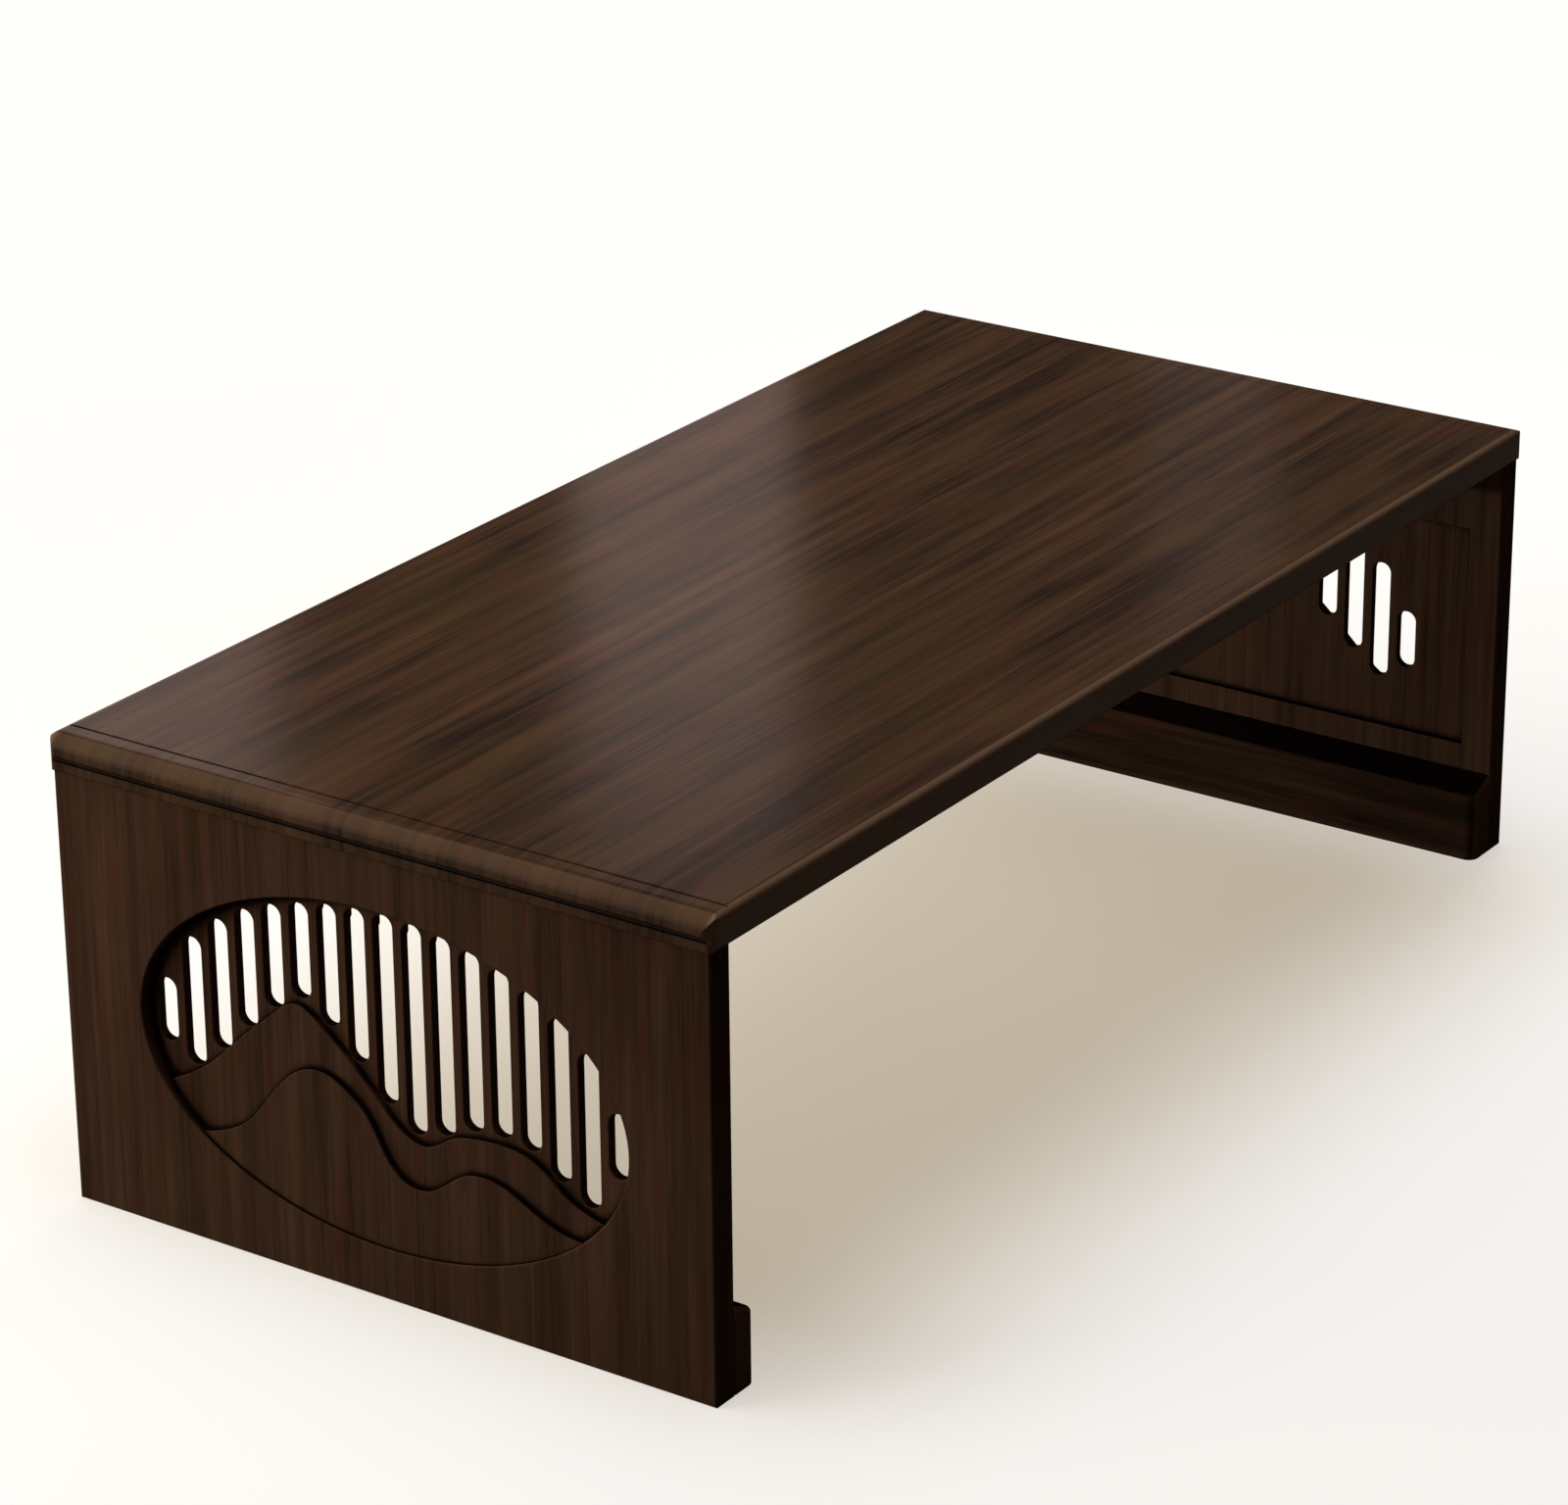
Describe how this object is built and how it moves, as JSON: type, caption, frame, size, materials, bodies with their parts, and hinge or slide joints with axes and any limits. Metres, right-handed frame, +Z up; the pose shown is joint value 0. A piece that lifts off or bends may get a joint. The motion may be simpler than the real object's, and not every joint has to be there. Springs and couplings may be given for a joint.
{
  "type": "folding coffee table",
  "caption": "Low folding coffee table: a bamboo top with rolled ends on carved leg boards, pierced by a slatted oval with a hill relief, that fold in flat on butt hinges.",
  "frame": {"origin": "on the floor, under the middle of the tabletop, with the legs unfolded", "axes": "+X along the table's length, +Y across it, +Z up"},
  "size_m": [1, 0.5, 0.32],
  "materials": {
    "stained_bamboo": "dark stain, satin lacquer",
    "dowel_wood": "bare",
    "hinge_steel": "bronzed, brushed",
    "screw_steel": "plated, fine turned"
  },
  "bodies": {
    "tabletop": {"tabletop_panel": "stained_bamboo", "left_hinge_batten": "stained_bamboo", "left_batten_screws": "screw_steel", "left_front_hinge_fixed_leaf": "hinge_steel", "left_rear_hinge_fixed_leaf": "hinge_steel", "left_front_hinge_pin": "hinge_steel", "left_rear_hinge_pin": "hinge_steel", "left_hinge_screws_top": "screw_steel", "right_hinge_batten": "stained_bamboo", "right_batten_screws": "screw_steel", "right_front_hinge_fixed_leaf": "hinge_steel", "right_rear_hinge_fixed_leaf": "hinge_steel", "right_front_hinge_pin": "hinge_steel", "right_rear_hinge_pin": "hinge_steel", "right_hinge_screws_top": "screw_steel"},
    "left_leg": {"left_leg_board": "stained_bamboo", "left_foot_rail": "stained_bamboo", "left_rail_dowels": "dowel_wood", "left_front_hinge_swing_leaf": "hinge_steel", "left_rear_hinge_swing_leaf": "hinge_steel", "left_hinge_screws_leg": "screw_steel"},
    "right_leg": {"right_leg_board": "stained_bamboo", "right_foot_rail": "stained_bamboo", "right_rail_dowels": "dowel_wood", "right_front_hinge_swing_leaf": "hinge_steel", "right_rear_hinge_swing_leaf": "hinge_steel", "right_hinge_screws_leg": "screw_steel"}
  },
  "joints": [
    {"name": "left_leg_fold", "type": "hinge", "parent": "tabletop", "child": "left_leg", "pos_m": [-0.4735, 0, 0.2713], "axis": [0, -1, 0], "range_deg": [0, 90]},
    {"name": "right_leg_fold", "type": "hinge", "parent": "tabletop", "child": "right_leg", "pos_m": [0.4735, 0, 0.2713], "axis": [0, 1, 0], "range_deg": [0, 90]}
  ]
}
